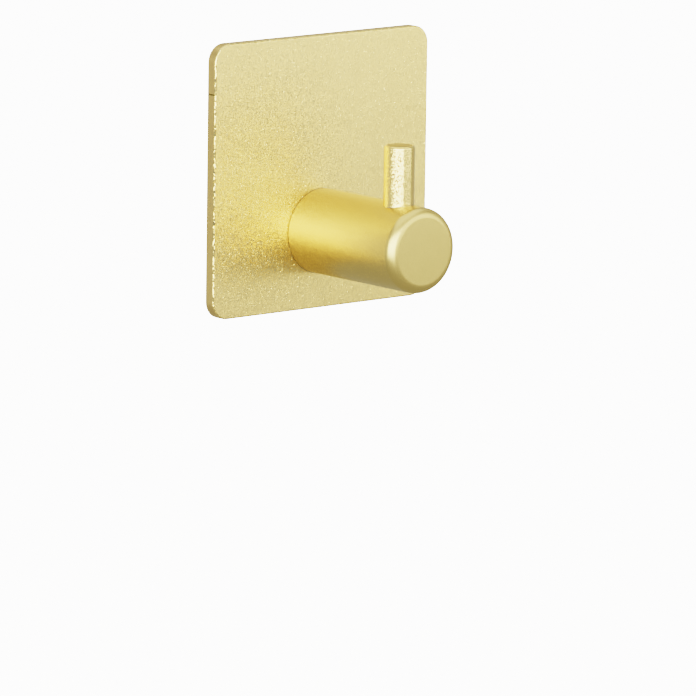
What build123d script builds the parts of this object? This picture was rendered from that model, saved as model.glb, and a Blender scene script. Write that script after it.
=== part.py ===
"""Self-adhesive towel hook: a square plate, a round peg and an upright stop pin.

Frame, in millimetres: the wall is the plane Y = 0, +Y points into the wall, +X is to the right
of someone who faces the hook, and +Z is up. The origin is the centre of the pad's wall face.
"""

from build123d import *

import os
from math import radians, tan

# Back plate: blasted sheet with its front edge rounded over and its back edge only deburred.
plate_side = 45.0
plate_thickness = 2.0
plate_corner_radius = 3.0
plate_front_round = 0.25
plate_back_break = 0.1

# Adhesive pad: foam tape, cut smaller than the plate so that it doesn't show from the front.
pad_thickness = 0.8
pad_inset = 1.0

# Peg: turned bar, square to the plate and below its centre.
peg_diameter = 14.0
peg_length = 26.0
peg_drop = 9.7
peg_nose_radius = 1.6
peg_seat_break = 0.2

# Stop pin: pressed into the top of the peg, near its nose.
pin_diameter = 5.0
pin_height = 9.5
pin_setback = 6.5
pin_seat_depth = 5.0
pin_crown_round = 0.4
pin_lead_chamfer = 0.5
press_clearance = 0.01

# Fixing screw: countersunk M3, driven from behind the plate into the peg.
screw_diameter = 3.0
screw_length = 10.0
screw_head_diameter = 5.6
screw_head_angle = 90.0
screw_head_land = 0.15
screw_head_sink = 0.05
screw_tip_chamfer = 0.4
screw_hole_clearance = 0.1
thread_clearance = 0.02

# Cross recess in the screw's head: two crossed slots whose walls lean inwards.
recess_span = 3.0
recess_slot = 0.8
recess_depth = 1.1
recess_taper = 12.0

# A drilled hole runs on past what it holds, and ends in the cone of the drill's point.
drill_run_out = 1.0
drill_point_angle = 118.0

peg_radius = peg_diameter / 2
pin_radius = pin_diameter / 2
screw_radius = screw_diameter / 2
screw_head_radius = screw_head_diameter / 2

# Places along Y, from the wall outwards, and along Z.
plate_back_y = -pad_thickness
plate_front_y = plate_back_y - plate_thickness
peg_nose_y = plate_front_y - peg_length
pin_y = peg_nose_y + pin_setback
screw_head_y = plate_back_y - screw_head_sink
peg_axis_z = -peg_drop
peg_top_z = peg_axis_z + peg_radius

# Planes that face the room, and planes that face out of a hole's mouth.
wall = Plane.XZ
plate_back = wall.offset(pad_thickness)
peg_seat = Plane((0, plate_front_y, peg_axis_z), x_dir=(1, 0, 0), z_dir=(0, -1, 0))
tapped_mouth = Plane((0, plate_front_y, peg_axis_z), x_dir=(1, 0, 0), z_dir=(0, 1, 0))
countersink_mouth = Plane((0, plate_back_y, peg_axis_z), x_dir=(1, 0, 0), z_dir=(0, 1, 0))
screw_head_top = Plane((0, screw_head_y, peg_axis_z), x_dir=(1, 0, 0), z_dir=(0, 1, 0))
pin_mouth = Plane((0, pin_y, peg_top_z), x_dir=(1, 0, 0), z_dir=(0, 0, 1))


def half_section(mouth):
    """The plane through a mouth's axis: local x is the radius and local y points out of the mouth."""
    return Plane(mouth.origin, x_dir=mouth.x_dir, z_dir=mouth.x_dir.cross(mouth.z_dir))


def drill(mouth, radius, depth):
    """Cut a blind hole from the mouth plane into the part being built.

    The cutter starts one radius outside the mouth, so that it opens a curved face all round.
    """
    point_height = radius / tan(radians(drill_point_angle / 2))
    with BuildSketch(half_section(mouth)) as cutter:
        with BuildLine():
            Polyline(
                (0, radius),
                (radius, radius),
                (radius, -depth),
                (0, -depth - point_height),
                close=True,
            )
        make_face()
    revolve(cutter.sketch, axis=Axis(mouth.origin, mouth.z_dir), mode=Mode.SUBTRACT)


# Adhesive pad
with BuildPart() as adhesive_pad:
    with BuildSketch(wall):
        pad_side = plate_side - 2 * pad_inset
        RectangleRounded(pad_side, pad_side, plate_corner_radius - pad_inset)
    extrude(amount=pad_thickness)

# Back plate, countersunk from behind so that the screw's cone seats under the pad
with BuildPart() as back_plate:
    with BuildSketch(plate_back):
        RectangleRounded(plate_side, plate_side, plate_corner_radius)
    extrude(amount=plate_thickness)
    fillet(back_plate.faces().sort_by(Axis.Y)[0].edges(), plate_front_round)
    chamfer(back_plate.faces().sort_by(Axis.Y)[-1].edges(), plate_back_break)
    with Locations(countersink_mouth):
        cone_depth = screw_head_sink + screw_head_land
        CounterSinkHole(
            radius=screw_radius + screw_hole_clearance,
            counter_sink_radius=screw_head_radius + cone_depth * tan(radians(screw_head_angle / 2)),
            counter_sink_angle=screw_head_angle,
        )

# Peg, tapped from behind for the screw and drilled on top for the pin
with BuildPart() as peg:
    with BuildSketch(peg_seat):
        Circle(peg_radius)
    extrude(amount=peg_length)
    fillet(peg.faces().sort_by(Axis.Y)[0].edges(), peg_nose_radius)
    chamfer(peg.faces().sort_by(Axis.Y)[-1].edges(), peg_seat_break)
    thread_reach = screw_head_sink + screw_length - plate_thickness
    drill(tapped_mouth, screw_radius + thread_clearance, thread_reach + drill_run_out)
    drill(pin_mouth, pin_radius + press_clearance, pin_seat_depth)

# Stop pin, pressed in as deep as the straight wall of its hole
with BuildPart() as stop_pin:
    with BuildSketch(pin_mouth.offset(-pin_seat_depth)):
        Circle(pin_radius)
    extrude(amount=pin_seat_depth + pin_height)
    fillet(stop_pin.faces().sort_by(Axis.Z)[-1].edges(), pin_crown_round)
    chamfer(stop_pin.faces().sort_by(Axis.Z)[0].edges(), pin_lead_chamfer)

# Fixing screw, with its thread drawn as a plain cylinder
with BuildPart() as fixing_screw:
    cone_height = (screw_head_radius - screw_radius) / tan(radians(screw_head_angle / 2))
    with BuildSketch(half_section(screw_head_top)):
        with BuildLine():
            Polyline(
                (0, 0),
                (screw_head_radius, 0),
                (screw_head_radius, -screw_head_land),
                (screw_radius, -screw_head_land - cone_height),
                (screw_radius, screw_tip_chamfer - screw_length),
                (screw_radius - screw_tip_chamfer, -screw_length),
                (0, -screw_length),
                close=True,
            )
        make_face()
    revolve(axis=Axis(screw_head_top.origin, screw_head_top.z_dir))
    with BuildSketch(screw_head_top):
        Rectangle(recess_span, recess_slot)
        Rectangle(recess_slot, recess_span)
    extrude(amount=-recess_depth, taper=recess_taper, mode=Mode.SUBTRACT)

os.makedirs("parts", exist_ok=True)
pieces = {
    "adhesive_pad": adhesive_pad,
    "back_plate": back_plate,
    "peg": peg,
    "stop_pin": stop_pin,
    "fixing_screw": fixing_screw,
}
for name, piece in pieces.items():
    piece.part.label = name
    export_step(piece.part, f"parts/{name}.step")
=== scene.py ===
"""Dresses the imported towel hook.

Makes the blasted gold plate, peg and pin, the screw and the pad behind them, and the studio.
"""

import math
from typing import NamedTuple

import bmesh
import bpy
from mathutils import Matrix, Vector


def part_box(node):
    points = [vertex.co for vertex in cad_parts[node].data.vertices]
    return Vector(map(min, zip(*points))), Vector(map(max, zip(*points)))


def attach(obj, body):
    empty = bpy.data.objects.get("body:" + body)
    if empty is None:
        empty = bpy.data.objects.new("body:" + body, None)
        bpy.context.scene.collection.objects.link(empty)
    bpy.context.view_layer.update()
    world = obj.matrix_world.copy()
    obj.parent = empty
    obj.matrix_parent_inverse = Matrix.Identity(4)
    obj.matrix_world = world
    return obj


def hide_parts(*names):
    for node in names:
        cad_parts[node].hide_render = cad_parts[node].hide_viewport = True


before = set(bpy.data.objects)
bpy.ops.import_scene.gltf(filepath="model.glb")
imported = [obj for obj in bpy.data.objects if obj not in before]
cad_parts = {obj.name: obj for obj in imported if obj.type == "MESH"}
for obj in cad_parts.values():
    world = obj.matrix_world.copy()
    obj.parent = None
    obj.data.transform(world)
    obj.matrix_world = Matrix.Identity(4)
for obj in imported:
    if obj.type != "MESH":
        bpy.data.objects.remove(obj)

bl_info = {
    "name": "Towel Hook",
    "version": (1, 0, 0),
    "blender": (4, 5, 0),
    "location": "View3D > Sidebar > Towel Hook",
    "description": "Makes the finished pieces of a self-adhesive towel hook and the studio it is shown in",
    "category": "Add Mesh",
}

MM = 0.001
ACROSS = Vector((1, 0, 0))
OUTWARD = Vector((0, -1, 0))
UP = Vector((0, 0, 1))
MERGE_DISTANCE = 0.0005 * MM
SMOOTH_ANGLE = math.radians(32)
DRILL_POINT = math.radians(118)
RECESS_TAPER = math.radians(12)

# Facets round each turned shape and across each rounded edge.
PLATE_CORNER_FACETS = 24
PLATE_RIM_FACETS = 5
PEG_FACETS = 144
NOSE_FACETS = 12
PIN_FACETS = 96
CROWN_FACETS = 6
HOLE_FACETS = 96
SCREW_FACETS = 48
THREAD_ROWS_PER_TURN = 8
PAD_CORNER_FACETS = 12
FOAM_BANDS = 4
CHAMFER = 1

# Material slots of the pieces that have more than one finish.
SHEET, RIM, SAWN_SHADED, BARED_SHADED = range(4)
TURNED, PARTED_SHADE_PAINTED = range(2)
FOAM, ADHESIVE = range(2)

# A dimple's lean is its finish's lean times DEEPEST nearest the nozzle, and times SHALLOWEST far from it.
DEEPEST = 2.8
SHALLOWEST = 0.7

# Where the nozzle was held, in millimetres: over the plate to the left of the peg, and off the pin's left.
PLATE_NOZZLE = (-14.5, -2.8, 1.0)
PIN_NOZZLE = (-36.3, -39.2, 2.0)

# The painted speck tint that adds some red takes away this many times as much blue.
BLUE_PER_RED = 1.6

# A glinting dimple also leans upwards, by this share of its lean to the left, and is no rougher than this.
GLINT_RISE = 0.2
GLINT_ROUGHNESS = 0.25

# Chances run from 0 to 1, and a range that ends just past 1 is never empty.
PAST_ONE = 1.0001

# The dye takes a little unevenly, in patches this wide, by this share of its colour.
PATCH_WIDTH = 6 * MM
PATCH_SPREAD = 0.04

# The floor's reach from its centre, in metres, and the slopes at which the room is darkest and brightest.
FLOOR_REACH = 6.0
DARKEST_RISE = -0.6
BRIGHTEST_RISE = 0.1


class Blast(NamedTuple):
    """How one surface of the hook was blasted: its film, and its dimples, whose lengths are in millimetres.

    Dimples lean apart, and a share of them leans further to the left and glints. They are deepest up to near
    from the nozzle, and shallowest from far on.
    """

    film: str
    dimple: float
    lean: float
    roughness: float
    # Painted shade: a share below 1 darkens the film.
    shade: float = 1.0
    glint_share: float = 0.0
    glint_lean: float = 0.0
    # Painted tint: how much redder the film is painted per lean upwards.
    painted_speck_tint: float = 0.3
    nozzle: tuple = PLATE_NOZZLE
    near: float = 0.0
    far: float = 26.0


BLASTS = {
    "sheet": Blast(
        "gold", dimple=0.10, lean=0.20, roughness=0.33, glint_share=0.05, glint_lean=0.45, painted_speck_tint=0.8
    ),
    "rim": Blast("gold", dimple=0.35, lean=0.40, roughness=0.22),
    # Painted shade: the plate's sideways faces take the darker film.
    "sawn edge": Blast("sawn_gold", dimple=0.15, lean=0.12, roughness=0.33),
    "turned peg": Blast("bar_gold", dimple=0.15, lean=0.04, roughness=0.34),
    "turned pin": Blast(
        "gold", dimple=0.14, lean=0.12, roughness=0.20, nozzle=PIN_NOZZLE, near=37.5, far=38.4
    ),
    # Painted shade: the pin's flat top has its film darkened to about a quarter.
    "parted end": Blast("gold", dimple=0.15, lean=0.06, roughness=0.30, shade=0.26),
}


class Softbox(NamedTuple):
    """A light: degrees to the right of the plate's normal and above the horizon, and lengths in metres."""

    right: float
    above: float
    distance: float
    width: float
    height: float
    brightness: float


SOFTBOXES = {
    "key_softbox": Softbox(right=-48.0, above=9.0, distance=1.6, width=3.08, height=1.3, brightness=3.4),
    "fill_card": Softbox(right=30.0, above=13.2, distance=0.44, width=0.479, height=0.346, brightness=1.1),
    "top_softbox": Softbox(right=-30.0, above=89.0, distance=1.6, width=2.4, height=2.4, brightness=0.696),
    "rim_card": Softbox(right=-120.0, above=0.0, distance=1.2, width=1.13, height=0.9, brightness=0.15),
}

plate_low, plate_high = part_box("back_plate")
peg_low, peg_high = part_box("peg")
pin_low, pin_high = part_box("stop_pin")
screw_low, screw_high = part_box("fixing_screw")
pad_low, pad_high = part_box("adhesive_pad")
peg_radius = (peg_high.x - peg_low.x) / 2
peg_axis_z = (peg_low.z + peg_high.z) / 2


def linear_colour(hex_code):
    """The scene-linear colour of an sRGB hex code such as F3E397."""
    channels = [int(hex_code[start : start + 2], 16) / 255 for start in (0, 2, 4)]
    return [c / 12.92 if c <= 0.04045 else ((c + 0.055) / 1.055) ** 2.4 for c in channels]


def length_property(name, description, millimetres):
    """A length that a user can change, in metres, with its default given in millimetres."""
    return bpy.props.FloatProperty(
        name=name, description=description, default=millimetres * MM, min=0.0, precision=5, unit="LENGTH"
    )


def colour_property(name, description, hex_code):
    """A colour that a user can change, with its default given as an sRGB hex code."""
    return bpy.props.FloatVectorProperty(
        name=name, description=description, default=linear_colour(hex_code), min=0.0, max=1.0, subtype="COLOR"
    )


def angle_property(name, description, degrees):
    """An angle that a user can change, with its default given in degrees."""
    return bpy.props.FloatProperty(
        name=name, description=description, default=math.radians(degrees), subtype="ANGLE"
    )


def brightness_property(name, description, default):
    """A brightness that a user can change."""
    return bpy.props.FloatProperty(name=name, description=description, default=default, min=0.0)


class TowelHookSizes(bpy.types.PropertyGroup):
    """Radii, breaks, holes and lines of the pieces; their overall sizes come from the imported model."""

    plate_corner: length_property("Plate corner", "Radius of the plate's four corners", 3.0)
    plate_front_round: length_property("Plate front round", "Radius round the plate's front edge", 0.25)
    plate_back_break: length_property("Plate back break", "Chamfer round the plate's back edge", 0.1)
    plate_hole: length_property("Plate hole", "Radius of the plate's screw hole", 1.6)
    countersink: length_property("Countersink", "Radius of the countersink at the plate's back", 3.0)
    peg_nose: length_property("Peg nose", "Radius round the peg's nose", 1.6)
    peg_seat_break: length_property("Peg seat break", "Chamfer where the peg meets the plate", 0.2)
    tapped_hole: length_property("Tapped hole", "Radius of the peg's tapped hole", 1.52)
    tapped_depth: length_property("Tapped depth", "Depth of the peg's tapped hole", 9.05)
    pin_crown: length_property("Pin crown", "Radius round the top of the stop pin", 0.4)
    pin_lead: length_property("Pin lead", "Chamfer on the pressed end of the stop pin", 0.5)
    pin_clearance: length_property("Pin clearance", "Gap all round the pin in its hole", 0.01)
    screw_radius: length_property("Screw radius", "Outer radius of the screw's thread", 1.5)
    screw_pitch: length_property("Screw pitch", "Distance from one turn of the thread to the next", 0.5)
    thread_depth: length_property("Thread depth", "Depth of the groove between two turns", 0.3)
    screw_head_land: length_property("Screw head land", "Height of the rim of the screw's head", 0.15)
    screw_tip: length_property("Screw tip", "Chamfer on the tip of the screw", 0.4)
    recess_span: length_property("Recess span", "Length of the slots in the screw's head", 3.0)
    recess_slot: length_property("Recess slot", "Width of the slots in the screw's head", 0.8)
    recess_depth: length_property("Recess depth", "Depth of the slots in the screw's head", 1.1)
    pad_corner: length_property("Pad corner", "Radius of the pad's four corners", 2.0)
    pad_film: length_property("Pad film", "Thickness of the adhesive on each face of the pad", 0.08)
    pad_crown: length_property("Pad crown", "How far the foam stands out in the middle of its edge", 0.06)
    # Painted shade: the width of the dull line painted round the peg's joints, where shade falls.
    joint_shade_width: length_property("Joint line", "Width of the dull line round the peg's joints", 0.12)
    nick_height: length_property("Nick height", "Height of the nick in the plate's left edge", 14.4)
    nick_depth: length_property("Nick depth", "Depth of the nick in the plate's left edge", 0.12)


class TowelHookColours(bpy.types.PropertyGroup):
    """Colours of the finishes, some of them darkened as painted shade, the paper and the light."""

    gold: colour_property("Gold", "Anodised film on the plate and the pin", "F3D8A5")
    bar_gold: colour_property("Bar gold", "Anodised film on the peg, which takes more dye", "DCC594")
    # Painted shade: a darker, slightly redder copy of the gold for the plate's sideways faces.
    sawn_gold: colour_property("Sawn gold", "Thin, reddish film on the plate's sawn edge", "E2C69A")
    # Painted shade: the colour of the line painted round the peg's joints.
    joint_shade_colour: colour_property("Dust", "Dust packed into the joints round the peg", "D1C6AA")
    # Painted shade: bared metal, darkened to shade the nick in the plate's edge.
    bare: colour_property("Bare metal", "Aluminium where the film is chipped off", "A89A70")
    zinc: colour_property("Zinc", "Plating of the screw", "C9CACC")
    foam: colour_property("Foam", "Foam core of the pad", "5A5B5E")
    adhesive: colour_property("Adhesive", "Adhesive film on the pad's faces", "6A6B6E")
    floor: colour_property("Floor", "Paper that the hook is shown over", "FDFDFC")
    light: colour_property("Light", "Slightly warm light of the softboxes and the room", "FFFFE5")


class TowelHookStudio(bpy.types.PropertyGroup):
    """Camera, floor and the room's light."""

    camera_azimuth: angle_property("Camera azimuth", "Turn to the left of the plate's normal", 40.1)
    camera_elevation: angle_property("Camera elevation", "Height above the horizon", 10.16)
    camera_roll: angle_property("Camera roll", "Lean of the picture to the right", 0.796)
    camera_distance: length_property("Camera distance", "From the camera to the point it is aimed at", 1249.5)
    camera_aim_right: length_property("Aim right", "Picture centre to the right of the plate's centre", 4.31)
    camera_aim_down: length_property("Aim down", "Picture centre below the plate's centre", 28.77)
    lens: bpy.props.FloatProperty(
        name="Lens", description="Focal length in millimetres for a sensor 36 mm wide", default=396.2,
        min=1.0,
    )
    floor_drop: length_property("Floor drop", "Height of the hook's centre above the floor", 300.0)
    room_low: brightness_property("Room below", "Brightness of the room below the hook", 0.360)
    room_high: brightness_property("Room above", "Brightness of the room from the hook upwards", 0.457)
    backdrop: brightness_property("Backdrop", "Brightness of the lit paper behind the hook", 5.0)


def turned_solid(points, centre, axis, facets):
    """A solid of revolution from its half outline, given as (radius, height along the axis) pairs."""
    solid = bmesh.new()
    verts = [solid.verts.new(centre + ACROSS * radius + axis * height) for radius, height in points]
    edges = [solid.edges.new(pair) for pair in zip(verts, verts[1:])]
    bmesh.ops.spin(
        solid, geom=verts + edges, cent=centre, axis=axis, angle=math.tau, steps=facets, use_merge=True
    )
    bmesh.ops.remove_doubles(solid, verts=solid.verts, dist=MERGE_DISTANCE)
    bmesh.ops.recalc_face_normals(solid, faces=solid.faces)
    return solid


def ring_at(solid, centre, axis, radius, height):
    """The edges of the rim of a turned solid that has this radius at this height along the axis."""
    def on_rim(vert):
        offset = vert.co - centre
        along = offset.dot(axis)
        spoke = (offset - axis * along).length
        return abs(along - height) < MERGE_DISTANCE and abs(spoke - radius) < MERGE_DISTANCE

    return [edge for edge in solid.edges if all(on_rim(vert) for vert in edge.verts)]


def round_over(solid, edges, radius, facets):
    """Bevel the edges, as an arc or with one facet as a chamfer."""
    bmesh.ops.bevel(
        solid, geom=edges, offset=radius, offset_type="OFFSET", affect="EDGES",
        segments=facets, profile=0.5, material=-1,
    )


def rounded_slab(low, high, corner, facets):
    """A flat slab between two corners, with its edges along Y rounded."""
    slab = bmesh.new()
    centre, size = (low + high) / 2, high - low
    bmesh.ops.create_cube(slab, size=1.0, matrix=Matrix.Translation(centre) @ Matrix.Diagonal((*size, 1.0)))
    along_y = [edge for edge in slab.edges if abs((edge.verts[0].co - edge.verts[1].co).y) > size.y / 2]
    round_over(slab, along_y, corner, facets)
    return slab


def rim_edges(solid, y):
    """The edges that run round a slab's face at a given Y."""
    return [edge for edge in solid.edges if all(abs(vert.co.y - y) < MERGE_DISTANCE for vert in edge.verts)]


def object_from(solid, name):
    """A Blender object from a bmesh, which is freed."""
    mesh = bpy.data.meshes.new(name)
    solid.to_mesh(mesh)
    solid.free()
    made = bpy.data.objects.new(name, mesh)
    bpy.context.scene.collection.objects.link(made)
    return made


def cut_away(piece, solid):
    """Take a solid out of a piece for good."""
    cutter = object_from(solid, "cutter")
    cut = piece.modifiers.new("cut", "BOOLEAN")
    cut.operation = "DIFFERENCE"
    cut.solver = "EXACT"
    cut.object = cutter
    depsgraph = bpy.context.evaluated_depsgraph_get()
    mesh = bpy.data.meshes.new_from_object(piece.evaluated_get(depsgraph))
    piece.modifiers.remove(cut)
    uncut, piece.data = piece.data, mesh
    mesh.name = piece.name
    bpy.data.meshes.remove(uncut)
    bpy.data.objects.remove(cutter)


def finish_piece(piece, materials, node):
    """Shade a piece, give it its materials and put it in its node's place."""
    for material in materials:
        piece.data.materials.append(material)
    piece.data.shade_smooth()
    piece.data.set_sharp_from_angle(angle=SMOOTH_ANGLE)
    even = piece.modifiers.new("face_weighted_normals", "WEIGHTED_NORMAL")
    even.mode = "FACE_AREA"
    even.keep_sharp = True
    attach(piece, "root")
    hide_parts(node)


def add_node(tree, kind, inputs=None, **settings):
    """Add a node with its settings; an input that is a socket is linked and any other is set."""
    node = tree.nodes.new(kind)
    for name, value in settings.items():
        setattr(node, name, value)
    for name, value in (inputs or {}).items():
        if isinstance(value, bpy.types.NodeSocket):
            tree.links.new(value, node.inputs[name])
        else:
            node.inputs[name].default_value = value
    return node


def new_material(name):
    """An empty material and its node tree."""
    material = bpy.data.materials.new(name)
    material.use_nodes = True
    material.node_tree.nodes.clear()
    return material, material.node_tree


def shaded(colour, share=1.0):
    """A colour with full alpha, made lighter or darker by a share of itself."""
    return (*(min(share * channel, 1.0) for channel in colour), 1.0)


def blasted_gold(blast, colours, joint_shade_width=0.0):
    """Aluminium bead-blasted and anodised gold: satin metal that sparkles, because its dimples lean apart.

    Real dimples are about 0.05 mm across, too fine to show, so they are drawn as coarse as the specks seen.
    """
    finish = BLASTS[blast]
    # The film, darkened by any painted shade.
    gold = [finish.shade * channel for channel in getattr(colours, finish.film)]
    material, tree = new_material(f"anodised aluminium, bead-blasted {blast}")
    place = add_node(tree, "ShaderNodeTexCoord").outputs["Object"]
    dimples = add_node(tree, "ShaderNodeTexVoronoi", {"Vector": place, "Scale": 1 / (finish.dimple * MM)})
    centred = add_node(
        tree, "ShaderNodeVectorMath", {0: dimples.outputs["Color"], 1: (0.5, 0.5, 0.5)}, operation="SUBTRACT"
    )
    # The nozzle was held over one spot, so the dimples are deepest there and shallow far away from it.
    nozzle = [length * MM for length in finish.nozzle]
    away = add_node(tree, "ShaderNodeVectorMath", {0: place, 1: nozzle}, operation="DISTANCE")
    depth = add_node(
        tree, "ShaderNodeMapRange",
        {"Value": away.outputs["Value"], "From Min": finish.near * MM, "From Max": finish.far * MM,
         "To Min": DEEPEST * finish.lean, "To Max": SHALLOWEST * finish.lean},
        interpolation_type="SMOOTHSTEP",
    )
    leaning = add_node(
        tree, "ShaderNodeVectorMath", {0: centred.outputs["Vector"], "Scale": depth.outputs["Result"]},
        operation="SCALE",
    ).outputs["Vector"]
    chance = add_node(tree, "ShaderNodeTexWhiteNoise", {"Vector": dimples.outputs["Position"]})
    glint = add_node(
        tree, "ShaderNodeMapRange",
        {"Value": chance.outputs["Value"], "From Min": 1 - finish.glint_share, "From Max": PAST_ONE},
    ).outputs["Result"]
    tilt = (-finish.glint_lean, 0.0, GLINT_RISE * finish.glint_lean)
    glancing = add_node(tree, "ShaderNodeVectorMath", {0: tilt, "Scale": glint}, operation="SCALE")
    flat = add_node(tree, "ShaderNodeNewGeometry").outputs["Normal"]
    tipped = add_node(tree, "ShaderNodeVectorMath", {0: flat, 1: leaning})
    summed = add_node(
        tree, "ShaderNodeVectorMath", {0: tipped.outputs["Vector"], 1: glancing.outputs["Vector"]}
    )
    facing = add_node(tree, "ShaderNodeVectorMath", {0: summed.outputs["Vector"]}, operation="NORMALIZE")

    patches = add_node(tree, "ShaderNodeTexNoise", {"Vector": place, "Scale": 1 / PATCH_WIDTH, "Detail": 2.0})
    tint = add_node(
        tree, "ShaderNodeMix",
        {"Factor": patches.outputs["Fac"],
         "A": shaded(gold, 1 - PATCH_SPREAD), "B": shaded(gold, 1 + PATCH_SPREAD)},
        data_type="RGBA",
    )
    # Painted tint: the film is redder and less blue where a dimple leans up, and the reverse where it leans
    # down, so that bright specks are painted a deeper gold and dark ones a paler one.
    rise = add_node(tree, "ShaderNodeSeparateXYZ", {"Vector": leaning}).outputs["Z"]
    speck_tint_per_rise = (finish.painted_speck_tint, 0.0, -BLUE_PER_RED * finish.painted_speck_tint)
    dye = add_node(
        tree, "ShaderNodeVectorMath", {0: rise, 1: speck_tint_per_rise, 2: (1.0, 1.0, 1.0)}, operation="MULTIPLY_ADD"
    )
    film = add_node(
        tree, "ShaderNodeVectorMath", {0: tint.outputs["Result"], 1: dye.outputs["Vector"]},
        operation="MULTIPLY",
    ).outputs["Vector"]
    # Painted shade: a thin line round the peg's foot dulls the film.
    if joint_shade_width:
        film = painted_joint_shade(tree, place, film, colours.joint_shade_colour, joint_shade_width)
    satin = add_node(
        tree, "ShaderNodeMapRange",
        {"Value": glint, "To Min": finish.roughness, "To Max": min(finish.roughness, GLINT_ROUGHNESS)},
    )
    surface = add_node(
        tree, "ShaderNodeBsdfPrincipled",
        {"Base Color": film, "Metallic": 1.0, "Roughness": satin.outputs["Result"],
         "Normal": facing.outputs["Vector"]},
    )
    add_node(tree, "ShaderNodeOutputMaterial", {"Surface": surface.outputs["BSDF"]})
    return material


def painted_joint_shade(tree, place, film, joint_shade_colour, width):
    """The film's colour, dulled by painted shade in a thin line where the surface meets the peg."""
    from_axis = add_node(
        tree, "ShaderNodeVectorMath", {0: place, 1: (0.0, 0.0, peg_axis_z)}, operation="SUBTRACT"
    )
    spoke = add_node(
        tree, "ShaderNodeVectorMath", {0: from_axis.outputs["Vector"], 1: (1.0, 0.0, 1.0)},
        operation="MULTIPLY",
    )
    distance = add_node(tree, "ShaderNodeVectorMath", {0: spoke.outputs["Vector"]}, operation="LENGTH")
    beyond_joint_shade = add_node(
        tree, "ShaderNodeMapRange",
        {"Value": distance.outputs["Value"],
         "From Min": peg_radius + width / 2, "From Max": peg_radius + width},
    )
    tint = add_node(
        tree, "ShaderNodeMix", {"Factor": beyond_joint_shade.outputs["Result"], "A": shaded(joint_shade_colour), "B": film},
        data_type="RGBA",
    )
    return tint.outputs["Result"]


def shaded_bare_aluminium(colour):
    """Aluminium bared by a knock, painted dark as shade in the nick: dull grey metal, which makes the nick a
    dark line beside the gold.
    """
    material, tree = new_material("aluminium, bared by a knock")
    surface = add_node(
        tree, "ShaderNodeBsdfPrincipled", {"Base Color": shaded(colour), "Metallic": 1.0, "Roughness": 0.5}
    )
    add_node(tree, "ShaderNodeOutputMaterial", {"Surface": surface.outputs["BSDF"]})
    return material


def plated_zinc(colour):
    """Steel rolled, zinc-plated and passivated: bright grey metal with faint cloudy patches."""
    cloud_width = 1.2 * MM
    material, tree = new_material("zinc-plated steel, rolled")
    place = add_node(tree, "ShaderNodeTexCoord").outputs["Object"]
    clouds = add_node(
        tree, "ShaderNodeTexNoise", {"Vector": place, "Scale": 1 / cloud_width, "Detail": 3.0}
    ).outputs["Fac"]
    tint = add_node(
        tree, "ShaderNodeMix", {"Factor": clouds, "A": shaded(colour, 0.82), "B": shaded(colour)},
        data_type="RGBA",
    )
    sheen = add_node(tree, "ShaderNodeMapRange", {"Value": clouds, "To Min": 0.24, "To Max": 0.42})
    surface = add_node(
        tree, "ShaderNodeBsdfPrincipled",
        {"Base Color": tint.outputs["Result"], "Metallic": 1.0, "Roughness": sheen.outputs["Result"]},
    )
    add_node(tree, "ShaderNodeOutputMaterial", {"Surface": surface.outputs["BSDF"]})
    return material


def acrylic_foam(colour):
    """Closed-cell acrylic foam, die-cut: matt dark grey with a fine crumb of cut cells."""
    cell_width, cell_depth = 0.18 * MM, 0.03 * MM
    material, tree = new_material("acrylic foam, die-cut")
    place = add_node(tree, "ShaderNodeTexCoord").outputs["Object"]
    cells = add_node(
        tree, "ShaderNodeTexVoronoi", {"Vector": place, "Scale": 1 / cell_width}
    ).outputs["Distance"]
    tint = add_node(
        tree, "ShaderNodeMix", {"Factor": cells, "A": shaded(colour, 0.6), "B": shaded(colour, 1.3)},
        data_type="RGBA",
    )
    bump = add_node(tree, "ShaderNodeBump", {"Height": cells, "Distance": cell_depth, "Strength": 0.8})
    surface = add_node(
        tree, "ShaderNodeBsdfPrincipled",
        {"Base Color": tint.outputs["Result"], "Roughness": 0.88, "Normal": bump.outputs["Normal"]},
    )
    add_node(tree, "ShaderNodeOutputMaterial", {"Surface": surface.outputs["BSDF"]})
    return material


def acrylic_adhesive(colour):
    """Tacky acrylic adhesive, cast as a film: dark grey with a dull gloss and a shallow ripple."""
    ripple_width, ripple_depth = 0.9 * MM, 0.04 * MM
    material, tree = new_material("acrylic adhesive, cast film")
    place = add_node(tree, "ShaderNodeTexCoord").outputs["Object"]
    ripple = add_node(
        tree, "ShaderNodeTexNoise", {"Vector": place, "Scale": 1 / ripple_width, "Detail": 2.0}
    ).outputs["Fac"]
    tint = add_node(
        tree, "ShaderNodeMix", {"Factor": ripple, "A": shaded(colour, 0.8), "B": shaded(colour, 1.15)},
        data_type="RGBA",
    )
    bump = add_node(tree, "ShaderNodeBump", {"Height": ripple, "Distance": ripple_depth, "Strength": 0.6})
    surface = add_node(
        tree, "ShaderNodeBsdfPrincipled",
        {"Base Color": tint.outputs["Result"], "Roughness": 0.42, "Normal": bump.outputs["Normal"]},
    )
    add_node(tree, "ShaderNodeOutputMaterial", {"Surface": surface.outputs["BSDF"]})
    return material


def studio_paper(colour, brightness):
    """Matt white paper, evenly lit: a plain bright ground."""
    material, tree = new_material("white studio paper, matt")
    surface = add_node(
        tree, "ShaderNodeBsdfPrincipled",
        {"Base Color": shaded(colour), "Roughness": 0.9,
         "Emission Color": shaded(colour), "Emission Strength": brightness},
    )
    add_node(tree, "ShaderNodeOutputMaterial", {"Surface": surface.outputs["BSDF"]})
    return material


def drill_cutter(mouth, axis, radius, depth):
    """A cutter for a blind hole, from one radius outside its mouth down to the cone of the drill's point."""
    point = radius / math.tan(DRILL_POINT / 2)
    outline = [(0, radius), (radius, radius), (radius, -depth), (0, -depth - point)]
    return turned_solid(outline, mouth, axis, HOLE_FACETS)


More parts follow.
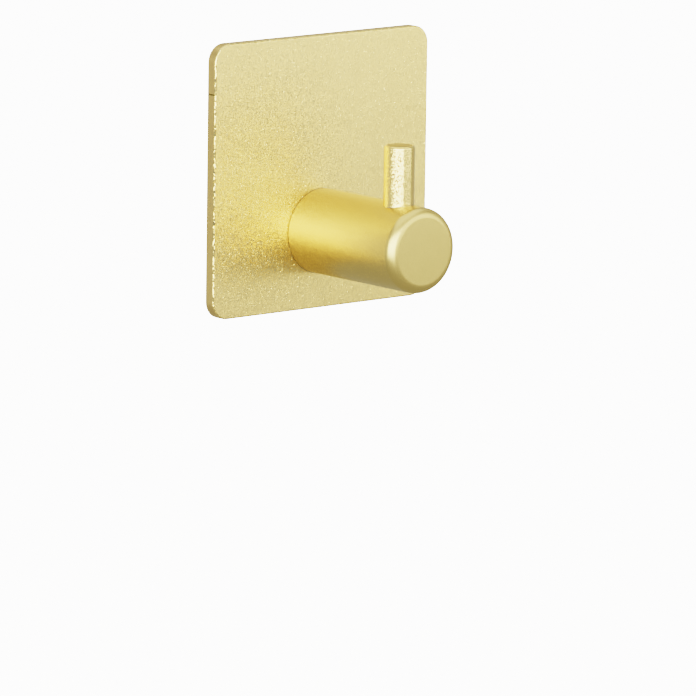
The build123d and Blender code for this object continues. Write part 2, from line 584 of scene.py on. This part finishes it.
def edge_nick(height, depth):
    """A cutter for a V-shaped nick across the plate's left edge."""
    cutter = bmesh.new()
    side = depth * math.sqrt(2)
    place = Matrix.Translation(Vector((plate_low.x, (plate_low.y + plate_high.y) / 2, height)))
    turn = Matrix.Rotation(math.radians(45), 4, "Y")
    size = Matrix.Diagonal((side, 2 * (plate_high.y - plate_low.y), side, 1.0))
    bmesh.ops.create_cube(cutter, size=1.0, matrix=place @ turn @ size)
    # The nick is bared metal, painted dark as shade.
    for face in cutter.faces:
        face.material_index = BARED_SHADED
    return cutter


class TOWELHOOK_OT_back_plate(bpy.types.Operator):
    """Make the square plate with its rounded front edge and its countersunk hole"""

    bl_idname = "towel_hook.back_plate"
    bl_label = "Back plate"

    def execute(self, context):
        sizes = context.scene.towel_hook_sizes
        colours = context.scene.towel_hook_colours
        slab = rounded_slab(plate_low, plate_high, sizes.plate_corner, PLATE_CORNER_FACETS)
        round_over(slab, rim_edges(slab, plate_low.y), sizes.plate_front_round, PLATE_RIM_FACETS)
        round_over(slab, rim_edges(slab, plate_high.y), sizes.plate_back_break, CHAMFER)
        slab.normal_update()
        for face in slab.faces:
            depth = face.calc_center_median().y - plate_low.y
            faces_sideways = abs(face.normal.y) < 0.5
            if MERGE_DISTANCE < depth < sizes.plate_front_round:
                face.material_index = RIM
            # Faces that face sideways take the film painted darker as shade.
            elif faces_sideways:
                face.material_index = SAWN_SHADED
            else:
                face.material_index = SHEET
        plate = object_from(slab, "plate_blasted")
        mouth = Vector((0, plate_high.y, (screw_low.z + screw_high.z) / 2))
        through = plate_high.y - plate_low.y + sizes.plate_hole
        outline = [
            (0, -sizes.plate_hole),
            (sizes.countersink + sizes.plate_hole, -sizes.plate_hole),
            (sizes.plate_hole, sizes.countersink - sizes.plate_hole),
            (sizes.plate_hole, through),
            (0, through),
        ]
        cut_away(plate, turned_solid(outline, mouth, OUTWARD, HOLE_FACETS))
        cut_away(plate, edge_nick(sizes.nick_height, sizes.nick_depth))
        films = [
            # The sheet is painted with a thin line of shade round the peg's foot.
            blasted_gold("sheet", colours, sizes.joint_shade_width),
            blasted_gold("rim", colours),
            blasted_gold("sawn edge", colours),
            shaded_bare_aluminium(colours.bare),
        ]
        finish_piece(plate, films, "back_plate")
        return {"FINISHED"}


class TOWELHOOK_OT_peg(bpy.types.Operator):
    """Turn the round peg with its rounded nose, tapped hole and pin hole"""

    bl_idname = "towel_hook.peg"
    bl_label = "Peg"

    def execute(self, context):
        sizes = context.scene.towel_hook_sizes
        colours = context.scene.towel_hook_colours
        length = peg_high.y - peg_low.y
        seat = Vector((0, peg_high.y, peg_axis_z))
        outline = [
            (0, length),
            (peg_radius, length),
            (peg_radius, 0),
            (sizes.tapped_hole, 0),
            (sizes.tapped_hole, sizes.tapped_depth),
            (0, sizes.tapped_depth + sizes.tapped_hole / math.tan(DRILL_POINT / 2)),
        ]
        solid = turned_solid(outline, seat, OUTWARD, PEG_FACETS)
        round_over(solid, ring_at(solid, seat, OUTWARD, peg_radius, length), sizes.peg_nose, NOSE_FACETS)
        round_over(solid, ring_at(solid, seat, OUTWARD, peg_radius, 0), sizes.peg_seat_break, CHAMFER)
        peg = object_from(solid, "peg_turned")
        pin_radius = (pin_high.x - pin_low.x) / 2
        mouth = Vector((0, (pin_low.y + pin_high.y) / 2, peg_high.z))
        cut_away(peg, drill_cutter(mouth, UP, pin_radius + sizes.pin_clearance, peg_high.z - pin_low.z))
        finish_piece(peg, [blasted_gold("turned peg", colours)], "peg")
        return {"FINISHED"}


class TOWELHOOK_OT_stop_pin(bpy.types.Operator):
    """Turn the upright stop pin"""

    bl_idname = "towel_hook.stop_pin"
    bl_label = "Stop pin"

    def execute(self, context):
        sizes = context.scene.towel_hook_sizes
        colours = context.scene.towel_hook_colours
        radius = (pin_high.x - pin_low.x) / 2
        height = pin_high.z - pin_low.z
        foot = Vector((0, (pin_low.y + pin_high.y) / 2, pin_low.z))
        outline = [(0, height), (radius, height), (radius, 0), (0, 0)]
        solid = turned_solid(outline, foot, UP, PIN_FACETS)
        round_over(solid, ring_at(solid, foot, UP, radius, height), sizes.pin_crown, CROWN_FACETS)
        round_over(solid, ring_at(solid, foot, UP, radius, 0), sizes.pin_lead, CHAMFER)
        # The flat top takes the film painted darker as shade.
        for face in solid.faces:
            on_top = abs(face.calc_center_median().z - pin_high.z) < MERGE_DISTANCE
            face.material_index = PARTED_SHADE_PAINTED if on_top else TURNED
        pin = object_from(solid, "pin_turned")
        # The pin is painted with a thin line of shade at its foot, where it meets the peg.
        films = [blasted_gold("turned pin", colours, sizes.joint_shade_width), blasted_gold("parted end", colours)]
        finish_piece(pin, films, "stop_pin")
        return {"FINISHED"}


def roll_thread(solid, head, start, end, pitch, depth):
    """Press a helical groove into a screw's shank, which fades over the first and last turn."""
    for vert in solid.verts:
        offset = vert.co - head
        along = offset.dot(OUTWARD)
        spoke = offset - OUTWARD * along
        if start < along < end and spoke.length > depth:
            turn = math.atan2(spoke.z, spoke.x) / math.tau
            groove = 0.5 - 0.5 * math.cos(math.tau * (along / pitch - turn))
            fade = min(1.0, (along - start) / pitch, (end - along) / pitch)
            vert.co -= spoke.normalized() * (depth * groove * fade)


def recess_arm(head, length, width, depth):
    """A cutter for one arm of a cross recess, as far above the head as below it and narrower downwards."""
    arm = bmesh.new()
    size = (length, 2 * depth, width, 1.0)
    bmesh.ops.create_cube(arm, size=1.0, matrix=Matrix.Translation(head) @ Matrix.Diagonal(size))
    for vert in arm.verts:
        offset = vert.co - head
        lean = offset.y * math.tan(RECESS_TAPER)
        vert.co.x += math.copysign(1.0, offset.x) * lean
        vert.co.z += math.copysign(1.0, offset.z) * lean
    return arm


class TOWELHOOK_OT_fixing_screw(bpy.types.Operator):
    """Turn the countersunk screw, roll its thread and sink the cross recess into its head"""

    bl_idname = "towel_hook.fixing_screw"
    bl_label = "Fixing screw"

    def execute(self, context):
        sizes = context.scene.towel_hook_sizes
        colours = context.scene.towel_hook_colours
        head_radius = (screw_high.x - screw_low.x) / 2
        length = screw_high.y - screw_low.y
        head = Vector((0, screw_high.y, (screw_low.z + screw_high.z) / 2))
        start = sizes.screw_head_land + head_radius - sizes.screw_radius
        end = length - sizes.screw_tip
        rows = round(THREAD_ROWS_PER_TURN * (end - start) / sizes.screw_pitch)
        outline = [
            (0, 0),
            (head_radius, 0),
            (head_radius, sizes.screw_head_land),
            *((sizes.screw_radius, start + (end - start) * row / rows) for row in range(rows + 1)),
            (sizes.screw_radius - sizes.screw_tip, length),
            (0, length),
        ]
        solid = turned_solid(outline, head, OUTWARD, SCREW_FACETS)
        roll_thread(solid, head, start, end, sizes.screw_pitch, sizes.thread_depth)
        screw = object_from(solid, "screw_rolled")
        for arm in ((sizes.recess_span, sizes.recess_slot), (sizes.recess_slot, sizes.recess_span)):
            cut_away(screw, recess_arm(head, *arm, sizes.recess_depth))
        finish_piece(screw, [plated_zinc(colours.zinc)], "fixing_screw")
        return {"FINISHED"}


class TOWELHOOK_OT_adhesive_pad(bpy.types.Operator):
    """Make the foam pad with an adhesive film on each face and a slightly crowned edge"""

    bl_idname = "towel_hook.adhesive_pad"
    bl_label = "Adhesive pad"

    def execute(self, context):
        sizes = context.scene.towel_hook_sizes
        colours = context.scene.towel_hook_colours
        slab = rounded_slab(pad_low, pad_high, sizes.pad_corner, PAD_CORNER_FACETS)
        foam_low, foam_high = pad_low.y + sizes.pad_film, pad_high.y - sizes.pad_film
        for step in range(FOAM_BANDS + 1):
            cut_y = foam_low + (foam_high - foam_low) * step / FOAM_BANDS
            bmesh.ops.bisect_plane(
                slab, geom=slab.verts[:] + slab.edges[:] + slab.faces[:], dist=MERGE_DISTANCE,
                plane_co=(0, cut_y, 0), plane_no=(0, 1, 0),
            )
        middle = (pad_low.y + pad_high.y) / 2
        half_side, half_height = pad_high.x, (pad_high.y - pad_low.y) / 2
        for vert in slab.verts:
            away = (vert.co.y - middle) / half_height
            shrink = 1 - away * away * sizes.pad_crown / half_side
            vert.co.x *= shrink
            vert.co.z *= shrink
        for face in slab.faces:
            in_foam = foam_low < face.calc_center_median().y < foam_high
            face.material_index = FOAM if in_foam else ADHESIVE
        pad = object_from(slab, "pad_foam_tape")
        films = [acrylic_foam(colours.foam), acrylic_adhesive(colours.adhesive)]
        finish_piece(pad, films, "adhesive_pad")
        return {"FINISHED"}


def direction(right, above):
    """The way from the hook to something at these angles from the plate's normal and the horizon."""
    return Vector((math.sin(right) * math.cos(above), -math.cos(right) * math.cos(above), math.sin(above)))


def add_softbox(name, colour, box):
    """A rectangular light that faces the hook."""
    light = bpy.data.lights.new(name, "AREA")
    light.shape = "RECTANGLE"
    light.size = box.width
    light.size_y = box.height
    light.energy = box.brightness * math.pi * box.width * box.height
    light.color = colour
    made = bpy.data.objects.new(name, light)
    bpy.context.scene.collection.objects.link(made)
    made.visible_camera = False
    place = direction(math.radians(box.right), math.radians(box.above)) * box.distance
    made.matrix_world = Matrix.Translation(place) @ (-place).to_track_quat("-Z", "Y").to_matrix().to_4x4()


def add_camera(scene, studio):
    """The camera at the photograph's angle, with the photograph's framing."""
    forward = -direction(-studio.camera_azimuth, studio.camera_elevation)
    right = Matrix.Rotation(-studio.camera_roll, 3, forward) @ forward.cross(UP).normalized()
    down = forward.cross(right)
    plate_face = Vector((0, plate_low.y, 0))
    target = plate_face + right * studio.camera_aim_right + down * studio.camera_aim_down
    camera_data = bpy.data.cameras.new("camera")
    camera_data.lens = studio.lens
    camera_data.clip_start = 0.05
    camera_data.clip_end = 50.0
    camera = bpy.data.objects.new("camera", camera_data)
    scene.collection.objects.link(camera)
    axes = Matrix((right, -down, -forward)).transposed().to_4x4()
    camera.matrix_world = Matrix.Translation(target - forward * studio.camera_distance) @ axes
    scene.camera = camera


def add_floor(studio, colours):
    """The plain paper floor, which the camera sees and the hook doesn't mirror."""
    sheet = bmesh.new()
    bmesh.ops.create_grid(
        sheet, x_segments=1, y_segments=1, size=FLOOR_REACH,
        matrix=Matrix.Translation(Vector((0, 0, -studio.floor_drop))),
    )
    floor = object_from(sheet, "floor")
    floor.data.materials.append(studio_paper(colours.floor, studio.backdrop))
    floor.visible_diffuse = False
    floor.visible_glossy = False
    floor.visible_shadow = False


def add_surround(scene, studio, colours):
    """The room: the camera sees lit paper on every side, while the hook is lit by the room's soft light."""
    world = bpy.data.worlds.new("studio_surround")
    world.use_nodes = True
    world.node_tree.nodes.clear()
    tree = world.node_tree
    sight = add_node(tree, "ShaderNodeTexCoord").outputs["Generated"]
    rise = add_node(tree, "ShaderNodeSeparateXYZ", {"Vector": sight}).outputs["Z"]
    glow = add_node(
        tree, "ShaderNodeMapRange",
        {"Value": rise, "From Min": DARKEST_RISE, "From Max": BRIGHTEST_RISE,
         "To Min": studio.room_low, "To Max": studio.room_high},
    )
    room = add_node(
        tree, "ShaderNodeBackground", {"Color": shaded(colours.light), "Strength": glow.outputs["Result"]}
    )
    paper = add_node(
        tree, "ShaderNodeBackground", {"Color": shaded(colours.floor), "Strength": studio.backdrop}
    )
    seen = add_node(tree, "ShaderNodeLightPath").outputs["Is Camera Ray"]
    around = add_node(
        tree, "ShaderNodeMixShader",
        {"Fac": seen, 1: room.outputs["Background"], 2: paper.outputs["Background"]},
    )
    add_node(tree, "ShaderNodeOutputWorld", {"Surface": around.outputs["Shader"]})
    scene.world = world


class TOWELHOOK_OT_stage(bpy.types.Operator):
    """Set up the camera, the floor, the surround and the softboxes"""

    bl_idname = "towel_hook.stage"
    bl_label = "Studio"

    def execute(self, context):
        scene = context.scene
        studio = scene.towel_hook_studio
        colours = scene.towel_hook_colours
        add_camera(scene, studio)
        add_floor(studio, colours)
        add_surround(scene, studio, colours)
        for name, box in SOFTBOXES.items():
            add_softbox(name, colours.light, box)
        scene.view_settings.view_transform = "Filmic"
        scene.view_settings.look = "Very High Contrast"
        return {"FINISHED"}


class TOWELHOOK_PT_panel(bpy.types.Panel):
    """Lists the pieces, their sizes and the studio"""

    bl_idname = "TOWELHOOK_PT_panel"
    bl_label = "Towel Hook"
    bl_space_type = "VIEW_3D"
    bl_region_type = "UI"
    bl_category = "Towel Hook"

    def draw(self, context):
        for operator in OPERATORS:
            self.layout.operator(operator.bl_idname)
        for settings in SETTINGS:
            group = getattr(context.scene, settings)
            for name in group.bl_rna.properties.keys():
                if name not in ("rna_type", "name"):
                    self.layout.prop(group, name)


OPERATORS = (
    TOWELHOOK_OT_back_plate,
    TOWELHOOK_OT_peg,
    TOWELHOOK_OT_stop_pin,
    TOWELHOOK_OT_fixing_screw,
    TOWELHOOK_OT_adhesive_pad,
    TOWELHOOK_OT_stage,
)
SETTINGS = {
    "towel_hook_sizes": TowelHookSizes,
    "towel_hook_colours": TowelHookColours,
    "towel_hook_studio": TowelHookStudio,
}


def register():
    """Register the settings, the operators and the panel."""
    for name, group in SETTINGS.items():
        bpy.utils.register_class(group)
        setattr(bpy.types.Scene, name, bpy.props.PointerProperty(type=group))
    for operator in OPERATORS:
        bpy.utils.register_class(operator)
    bpy.utils.register_class(TOWELHOOK_PT_panel)


def unregister():
    """Undo what register did."""
    bpy.utils.unregister_class(TOWELHOOK_PT_panel)
    for operator in reversed(OPERATORS):
        bpy.utils.unregister_class(operator)
    for name, group in SETTINGS.items():
        delattr(bpy.types.Scene, name)
        bpy.utils.unregister_class(group)


def main():
    """Make every piece and the studio."""
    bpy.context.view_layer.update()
    register()
    bpy.ops.towel_hook.back_plate()
    bpy.ops.towel_hook.peg()
    bpy.ops.towel_hook.stop_pin()
    bpy.ops.towel_hook.fixing_screw()
    bpy.ops.towel_hook.adhesive_pad()
    bpy.ops.towel_hook.stage()


if __name__ == "__main__":
    main()
